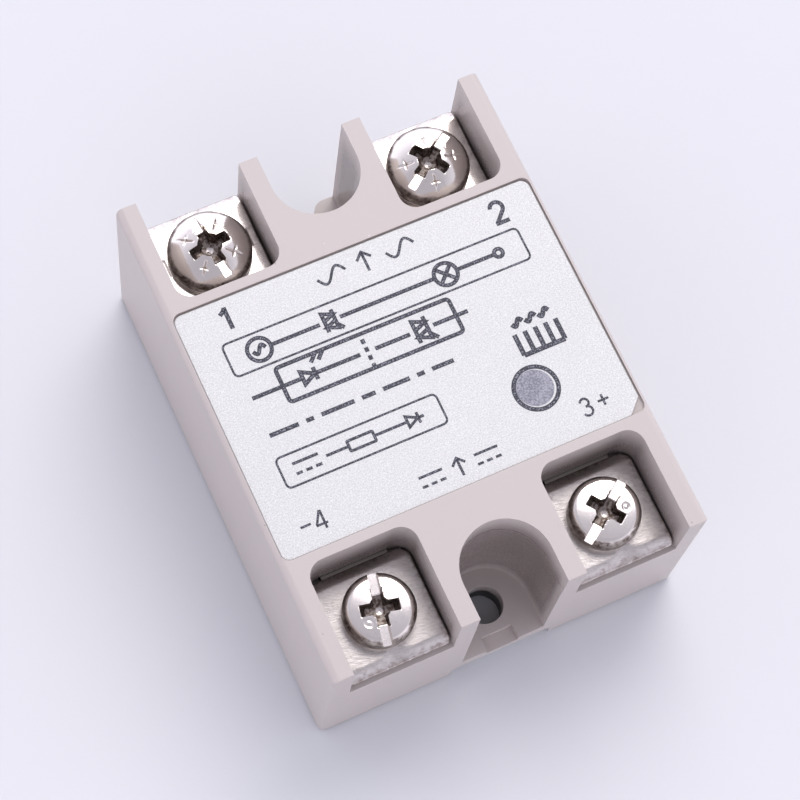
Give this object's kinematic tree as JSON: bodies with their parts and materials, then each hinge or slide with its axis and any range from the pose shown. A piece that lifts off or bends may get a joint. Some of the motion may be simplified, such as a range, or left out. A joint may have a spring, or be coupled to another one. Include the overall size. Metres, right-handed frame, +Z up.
{
  "type": "solid state relay",
  "caption": "Panel-mounting solid state relay: moulded case on an aluminium base with screw clamp terminals at both ends and a notch for a mounting screw at each end.",
  "frame": {"origin": "centre of the underside of the base plate, where it meets the heat sink", "axes": "+X across the relay towards terminals 2 and 3, +Y along it towards the output terminals, +Z up away from the heat sink"},
  "size_m": [0.045, 0.058, 0.024],
  "materials": {
    "case_plastic": "fine matt moulded, greyish beige",
    "base_aluminium": "brushed flat",
    "label_film": "silver-white printed film, fine grain",
    "plated_brass": "nickel plated",
    "plated_steel": "nickel plated, brushed",
    "bright_screw": "bright nickel plated",
    "white_ceramic": "fired alumina",
    "tinned_copper": "tinned",
    "bare_copper": "bare copper",
    "black_epoxy": "moulded epoxy",
    "white_epoxy": "moulded epoxy",
    "potting": "cast, slightly glossy",
    "board_laminate": "solder mask over glass laminate",
    "red_lens": "tinted clear",
    "resistor_coat": "lacquered with colour bands",
    "power_resistor_coat": "flameproof coat",
    "capacitor_case": "moulded box"
  },
  "bodies": {
    "relay_case": {"housing": "case_plastic", "base_plate": "base_aluminium", "label": "label_film", "output_terminal_1": "plated_brass", "output_terminal_2": "plated_brass", "input_terminal_3": "plated_brass", "input_terminal_4": "plated_brass", "ceramic_insulator": "white_ceramic", "triac_tab": "tinned_copper", "triac_body": "black_epoxy", "triac_leads": "tinned_copper", "output_link_1": "bare_copper", "output_link_2": "bare_copper", "snubber_jumpers": "tinned_copper", "potting_compound": "potting", "circuit_board": "board_laminate", "optocoupler_body": "white_epoxy", "optocoupler_legs": "tinned_copper", "indicator_led": "red_lens", "led_leads": "tinned_copper", "input_resistor": "resistor_coat", "led_resistor": "resistor_coat", "gate_resistor": "resistor_coat", "bias_resistor": "resistor_coat", "protection_diode": "black_epoxy", "limiter_transistor_1": "black_epoxy", "limiter_transistor_2": "black_epoxy", "snubber_resistor": "power_resistor_coat", "snubber_capacitor": "capacitor_case"},
    "clamp_1": {"output_clamp_1": "plated_steel"},
    "screw_1": {"output_screw_1": "bright_screw"},
    "clamp_2": {"output_clamp_2": "plated_steel"},
    "screw_2": {"output_screw_2": "bright_screw"},
    "clamp_3": {"input_clamp_3": "plated_steel"},
    "screw_3": {"input_screw_3": "bright_screw"},
    "clamp_4": {"input_clamp_4": "plated_steel"},
    "screw_4": {"input_screw_4": "bright_screw"}
  },
  "joints": [
    {"name": "clamp_1_lift", "type": "slide", "parent": "relay_case", "child": "clamp_1", "axis": [0, 0, 1], "range_m": [0, 0.0032]},
    {"name": "screw_1_turn", "type": "hinge", "parent": "clamp_1", "child": "screw_1", "pos_m": [-0.0136, 0.0227, 0.0174], "axis": [0, 0, 1], "range_deg": [0, 1440]},
    {"name": "clamp_2_lift", "type": "slide", "parent": "relay_case", "child": "clamp_2", "axis": [0, 0, 1], "range_m": [0, 0.0032]},
    {"name": "screw_2_turn", "type": "hinge", "parent": "clamp_2", "child": "screw_2", "pos_m": [0.0136, 0.0227, 0.0174], "axis": [0, 0, 1], "range_deg": [0, 1440]},
    {"name": "clamp_3_lift", "type": "slide", "parent": "relay_case", "child": "clamp_3", "axis": [0, 0, 1], "range_m": [0, 0.0028]},
    {"name": "screw_3_turn", "type": "hinge", "parent": "clamp_3", "child": "screw_3", "pos_m": [0.0136, -0.0227, 0.0174], "axis": [0, 0, 1], "range_deg": [0, 1440]},
    {"name": "clamp_4_lift", "type": "slide", "parent": "relay_case", "child": "clamp_4", "axis": [0, 0, 1], "range_m": [0, 0.0028]},
    {"name": "screw_4_turn", "type": "hinge", "parent": "clamp_4", "child": "screw_4", "pos_m": [-0.0136, -0.0227, 0.0174], "axis": [0, 0, 1], "range_deg": [0, 1440]}
  ],
  "couplings": [
    {"joint": "screw_1_turn", "follows": "clamp_1_lift", "rad_per_m": 7853.9},
    {"joint": "screw_2_turn", "follows": "clamp_2_lift", "rad_per_m": 7853.9},
    {"joint": "screw_3_turn", "follows": "clamp_3_lift", "rad_per_m": 8975.9},
    {"joint": "screw_4_turn", "follows": "clamp_4_lift", "rad_per_m": 8975.9}
  ]
}
